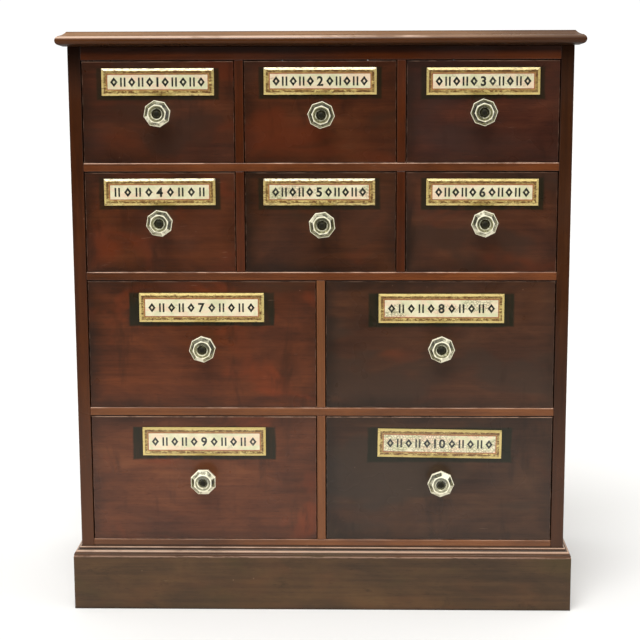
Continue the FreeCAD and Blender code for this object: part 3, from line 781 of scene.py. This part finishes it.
def label_ink():
    """Black paint that has crumbled away in specks."""
    s = Shader("label_ink")
    specks = s.noise(s.place, 900.0, 4.0, 0.75)
    patch = s.noise(s.place, 70.0, 2.0)
    lost = s.span(s.plus(specks, s.times(patch, 0.35)), 0.78, 0.84, 0.0, 0.8)
    s.set(Base_Color=s.mix(lost, INK, (0.45, 0.43, 0.32)))
    s.set(Roughness=s.span(specks, 0.3, 0.7, 0.25, 0.4), Coat_Weight=0.9, Coat_Roughness=0.04)
    return s.material


# ---- meshes ----------------------------------------------------------------------------------
def mesh_piece(name, bm, material, body):
    """Turns a bmesh into a piece that rides on a body."""
    bmesh.ops.recalc_face_normals(bm, faces=bm.faces)
    mesh = bpy.data.meshes.new(name)
    bm.to_mesh(mesh)
    bm.free()
    piece = bpy.data.objects.new(name, mesh)
    bpy.context.scene.collection.objects.link(piece)
    piece.data.materials.append(material)
    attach(piece, body)
    return piece


def slab(bm, outline, y0, y1):
    """A closed flat shape in X and Z, as thick as y0 to y1."""
    near = [bm.verts.new((x, y0, z)) for x, z in outline]
    far = [bm.verts.new((x, y1, z)) for x, z in outline]
    bm.faces.new(near)
    bm.faces.new(far[::-1])
    for i in range(len(outline)):
        j = (i + 1) % len(outline)
        bm.faces.new((near[j], near[i], far[i], far[j]))


NUMERAL_HEIGHT = 12.6 * MM
NUMERAL_IN_FONT = 0.70   # a numeral's height as a share of the font's size
STROKE_GAIN = 0.55 * MM  # how much each stroke is fattened, each side
INK_T = 0.12 * MM
INK_SUNK = 0.02 * MM     # how deep the ink reaches into the plate


def numeral(text, height):
    """The text as a mesh, centred, standing in X and Z and facing -Y, and half its width."""
    curve = bpy.data.curves.new("numeral", "FONT")
    curve.body = text
    curve.size = height / NUMERAL_IN_FONT
    curve.offset = STROKE_GAIN
    curve.space_character = 1.15
    curve.extrude = INK_T / 2
    curve.align_x = "CENTER"
    curve.resolution_u = 6
    holder = bpy.data.objects.new("numeral", curve)
    bpy.context.scene.collection.objects.link(holder)
    bpy.context.view_layer.update()
    mesh = bpy.data.meshes.new_from_object(holder)
    bpy.data.objects.remove(holder)
    xs = [v.co.x for v in mesh.vertices]
    ys = [v.co.y for v in mesh.vertices]
    shift = Vector((-(min(xs) + max(xs)) / 2, -(min(ys) + max(ys)) / 2, 0))
    mesh.transform(Matrix.Rotation(math.radians(90), 4, "X") @ Matrix.Translation(shift))
    return mesh, (max(xs) - min(xs)) / 2


def ring_slab(bm, outer, inner, y0, y1):
    """A flat closed ring in X and Z between two outlines with as many points."""
    loops = [[bm.verts.new((x, y, z)) for x, z in outline]
             for outline, y in ((outer, y0), (inner, y0), (inner, y1), (outer, y1))]
    for this, following in zip(loops, loops[1:] + loops[:1]):
        for i in range(len(this)):
            j = (i + 1) % len(this)
            bm.faces.new((this[i], this[j], following[j], following[i]))


ORNAMENT_PITCH = 12.0 * MM         # at the least, from one ornament to the next
BAR_OFFSET = 2.6 * MM              # from the middle of a pair of bars to each bar's middle
BAR_HALF = 1.2 * MM                # half a bar's width
LOZENGE_OUTER = (5.2 * MM, 1.08)   # half its width, and half its height over half a numeral's
LOZENGE_INNER = (1.9 * MM, 0.40)
NUMERAL_GAP = 3.2 * MM             # from the numeral to its ornaments
PANEL_INSET = 11.5 * MM            # from the plate's end to the last ornament


def ornament(bm, side, start, reach, y0, y1):
    """Open lozenges and pairs of bars by turns, from the numeral outwards."""
    tall = NUMERAL_HEIGHT / 2
    count = int((reach - start) / ORNAMENT_PITCH)
    pitch = (reach - start) / count
    for i in range(count):
        at = side * (start + (i + 0.5) * pitch)
        if i % 2:
            for centre in (at - BAR_OFFSET, at + BAR_OFFSET):
                left, right = centre - BAR_HALF, centre + BAR_HALF
                slab(bm, [(left, -tall), (right, -tall), (right, tall), (left, tall)], y0, y1)
        else:
            outer, inner = ([(at - wide, 0), (at, tall * high), (at + wide, 0), (at, -tall * high)]
                            for wide, high in (LOZENGE_OUTER, LOZENGE_INNER))
            ring_slab(bm, outer, inner, y0, y1)


def label_lettering(name, number, material):
    """The drawer's number between plain ornaments, painted on the label's cream panel."""
    middle, half_x, _, tilt = label_frame(name)
    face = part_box(f"{name}_label")[0].y
    y0, y1 = face - INK_T, face + INK_SUNK
    mesh, half = numeral(str(number), NUMERAL_HEIGHT)
    bm = bmesh.new()
    bm.from_mesh(mesh)
    bpy.data.meshes.remove(mesh)
    bmesh.ops.translate(bm, verts=bm.verts, vec=(0, face - INK_T / 2 + INK_SUNK, 0))
    for side in (-1, 1):
        ornament(bm, side, half + NUMERAL_GAP, half_x - PANEL_INSET, y0, y1)
    turn = Matrix.Rotation(-math.radians(tilt), 4, "Y")
    place = Matrix.Translation((middle.x, 0, middle.z))
    bmesh.ops.transform(bm, matrix=place @ turn, verts=bm.verts)
    return mesh_piece(f"{name}_label_number", bm, material, name)


ROW_STARTS = ("drawer_01", "drawer_04", "drawer_07", "drawer_09")
NAIL_DROP = 6 * MM                # from a drawer's foot to the middle of the board that it runs on
TOP_NAIL_DROP = 9 * MM            # from the upper end of the back to its first row of nails
NAIL_SHARES = (0.12, 0.5, 0.88)   # where the nails stand across each board
NAIL_PROUD = 0.2 * MM
NAIL_FLATNESS = 0.28


def nail_heads(material):
    """Hand-made nail heads in rows across the back boards, each a little off its line."""
    rng = random.Random(11)
    low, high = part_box("back_boards")
    levels = [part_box(f"{first}_front")[0].z - NAIL_DROP for first in ROW_STARTS]
    levels.append(high.z - TOP_NAIL_DROP)
    bm = bmesh.new()
    pitch = (high.x - low.x) / BACK_BOARDS
    for i in range(BACK_BOARDS):
        for level in levels:
            for share in NAIL_SHARES:
                x = low.x + (i + share) * pitch + rng.uniform(-4, 4) * MM
                z = level + rng.uniform(-2, 2) * MM
                radius = rng.uniform(2.2, 3.0) * MM
                turn = Matrix.Rotation(math.radians(90), 4, "X")
                place = Matrix.Translation((x, high.y + NAIL_PROUD, z)) @ turn
                flat = Matrix.Diagonal((1, rng.uniform(0.8, 1.0), NAIL_FLATNESS, 1))
                bmesh.ops.create_uvsphere(bm, u_segments=10, v_segments=6, radius=radius,
                                          matrix=place @ flat)
    return mesh_piece("back_nails", bm, material, "carcass")


def soften(node, width, segments=2, angle=35.0):
    """Rounds a CAD node's arrises by a modifier, which leaves its own mesh alone."""
    obj = NODES[node]
    weld = obj.modifiers.new("weld", "WELD")
    weld.merge_threshold = 1e-6
    bevel = obj.modifiers.new("arris", "BEVEL")
    bevel.width = width
    bevel.segments = segments
    bevel.limit_method = "ANGLE"
    bevel.angle_limit = math.radians(angle)
    bevel.harden_normals = True


# ---- dressing the CAD nodes ------------------------------------------------------------------
def dress_carcass():
    put_on(NODES["top_board"], top_mahogany())
    left = side_mahogany("left_mahogany", LIT_LEFT_TONES, foot_light=0.55, shaded=0.80, seed=5)
    put_on(NODES["side_panel_left"], left)
    right = side_mahogany("right_mahogany", SHADED_RIGHT_TONES, foot_light=0.30, shaded=0.45, seed=8)
    put_on(NODES["side_panel_right"], right)
    put_on(NODES["front_rails"], rail_mahogany())
    put_on(NODES["front_muntins"], muntin_mahogany())
    put_on(NODES["plinth_boards"], plinth_face())
    put_on(NODES["plinth_moulding"], plinth_mouldings())
    put_on(NODES["dust_boards"], bare_pine("dust_board_pine", "X", PINE_TONES, 9)[0].material)
    put_on(NODES["drawer_guides"], bare_pine("guide_pine", "Y", PINE_TONES, 12)[0].material)
    put_on(NODES["back_boards"], back_pine())
    nail_heads(rusted_iron())
    soften("top_board", 0.4 * MM)
    for side in ("side_panel_left", "side_panel_right"):
        soften(side, 0.9 * MM)
    soften("front_rails", 1.1 * MM)
    soften("front_muntins", 0.9 * MM)
    soften("plinth_boards", 0.4 * MM, 1)
    soften("plinth_moulding", 0.25 * MM)
    for node in ("dust_boards", "drawer_guides", "back_boards"):
        soften(node, 0.5 * MM, 1)


def dress_drawers():
    ink = label_ink()
    box_wood = bare_pine("drawer_box_wood", "Y", PINE_TONES, 27)[0].material
    for number, name in enumerate(DRAWERS, 1):
        put_on(NODES[f"{name}_front"], drawer_front(name, number * 1.7))
        put_on(NODES[f"{name}_box"], box_wood)
        put_on(NODES[f"{name}_knob"], knob_glass(name, number * 1.9))
        put_on(NODES[f"{name}_knob_bolt"], tarnished_brass(name))
        put_on(NODES[f"{name}_label"], gilt_label(name, number))
        label_lettering(name, number, ink)
        soften(f"{name}_front", 0.9 * MM)
        soften(f"{name}_box", 0.4 * MM, 1)
        soften(f"{name}_knob", 0.7 * MM, 3, 12.0)


# ---- stage -----------------------------------------------------------------------------------
FLOOR_AHEAD = 1.4        # how far the paper on the floor reaches in front of the object
FLOOR_BEHIND = 40.0
FLOOR_HALF_WIDTH = 30.0
FLOOR_Z = -0.3 * MM      # just clear of the plinth's foot


def stage_floor():
    """Pale paper under the object and far behind it."""
    bm = bmesh.new()
    near, far, side = FRONT_Y - FLOOR_AHEAD, FLOOR_BEHIND, FLOOR_HALF_WIDTH
    corners = [(-side, near), (side, near), (side, far), (-side, far)]
    bm.faces.new([bm.verts.new((x, y, FLOOR_Z)) for x, y in corners])
    mesh = bpy.data.meshes.new("studio_floor")
    bm.to_mesh(mesh)
    bm.free()
    floor = bpy.data.objects.new("studio_floor", mesh)
    bpy.context.scene.collection.objects.link(floor)
    s = Shader("studio_paper")
    fibre = s.noise(s.place, 3.0, 2.0)
    s.set(Base_Color=s.mix(fibre, (0.88, 0.88, 0.87), (0.85, 0.85, 0.84)), Roughness=0.9)
    put_on(floor, s.material)


ROOM_DIM = 0.05          # how bright the room is behind the camera
ROOM_BRIGHT = 0.80       # and at its sides and overhead
ROOM_COLOUR = (1.0, 0.985, 0.96, 1.0)
TENT_OPENING = (-0.92, -0.60)   # the direction's Y where the dark opening ends and the tent begins
PAPER = 1.05             # the white paper seen behind the object
LAMP_TOWARD = (-0.12, -0.50, 0.85)
LAMP_POWER = 2.3
LAMP_SOFTNESS = 40       # the lamp's width as seen from the object, in degrees


def studio_world():
    """A white tent, open and dark on the camera's side, and pure white behind the object."""
    world = bpy.data.worlds.new("studio")
    bpy.context.scene.world = world
    world.use_nodes = True
    tree = world.node_tree
    direction = tree.nodes.new("ShaderNodeSeparateXYZ")
    tree.links.new(tree.nodes.new("ShaderNodeTexCoord").outputs["Generated"], direction.inputs[0])
    tent = tree.nodes.new("ShaderNodeMapRange")
    tent.interpolation_type = "SMOOTHSTEP"
    tree.links.new(direction.outputs[1], tent.inputs[0])
    for socket, value in zip(tent.inputs[1:5], (*TENT_OPENING, ROOM_DIM, ROOM_BRIGHT)):
        socket.default_value = value
    room = tree.nodes["Background"]
    room.inputs["Color"].default_value = ROOM_COLOUR
    tree.links.new(tent.outputs[0], room.inputs["Strength"])
    paper = tree.nodes.new("ShaderNodeBackground")
    paper.inputs["Color"].default_value = (1.0, 1.0, 1.0, 1.0)
    paper.inputs["Strength"].default_value = PAPER
    path = tree.nodes.new("ShaderNodeLightPath")
    both = tree.nodes.new("ShaderNodeMixShader")
    tree.links.new(path.outputs["Is Camera Ray"], both.inputs[0])
    tree.links.new(room.outputs[0], both.inputs[1])
    tree.links.new(paper.outputs[0], both.inputs[2])
    tree.links.new(both.outputs[0], tree.nodes["World Output"].inputs["Surface"])


def studio_lamp():
    """One wide soft lamp, overhead and in front of the object."""
    data = bpy.data.lights.new("overhead", "SUN")
    data.energy = LAMP_POWER
    data.angle = math.radians(LAMP_SOFTNESS)
    light = bpy.data.objects.new("overhead", data)
    bpy.context.scene.collection.objects.link(light)
    light.rotation_euler = Vector(LAMP_TOWARD).to_track_quat("Z", "Y").to_euler()


CAMERA_OFFSET = Vector((0.053, -2.219, 0.814))   # from the middle of the front plane, at floor level
CAMERA_YAW, CAMERA_PITCH, CAMERA_ROLL = -1.40, 9.75, -0.20
CAMERA_LENS = 88.0       # millimetres, over a sensor CAMERA_SENSOR wide
CAMERA_SENSOR = 36.0


def camera():
    """Level with the chest's top, looking down a little and almost square to its front."""
    yaw, pitch, roll = (math.radians(a) for a in (CAMERA_YAW, CAMERA_PITCH, CAMERA_ROLL))
    ahead = Vector((math.sin(yaw) * math.cos(pitch), math.cos(yaw) * math.cos(pitch), -math.sin(pitch)))
    level = Vector((math.cos(yaw), -math.sin(yaw), 0))
    upward = level.cross(ahead)
    right = math.cos(roll) * level + math.sin(roll) * upward
    up = -math.sin(roll) * level + math.cos(roll) * upward
    data = bpy.data.cameras.new("camera")
    data.lens = CAMERA_LENS
    data.sensor_width = CAMERA_SENSOR
    data.clip_end = 60.0
    eye = bpy.data.objects.new("camera", data)
    bpy.context.scene.collection.objects.link(eye)
    turn = Matrix((right, up, -ahead)).transposed().to_4x4()
    eye.matrix_world = Matrix.Translation(Vector((0, FRONT_Y, 0)) + CAMERA_OFFSET) @ turn
    bpy.context.scene.camera = eye


camera()
dress_carcass()
dress_drawers()
stage_floor()
studio_world()
studio_lamp()
bpy.context.scene.view_settings.view_transform = "Standard"
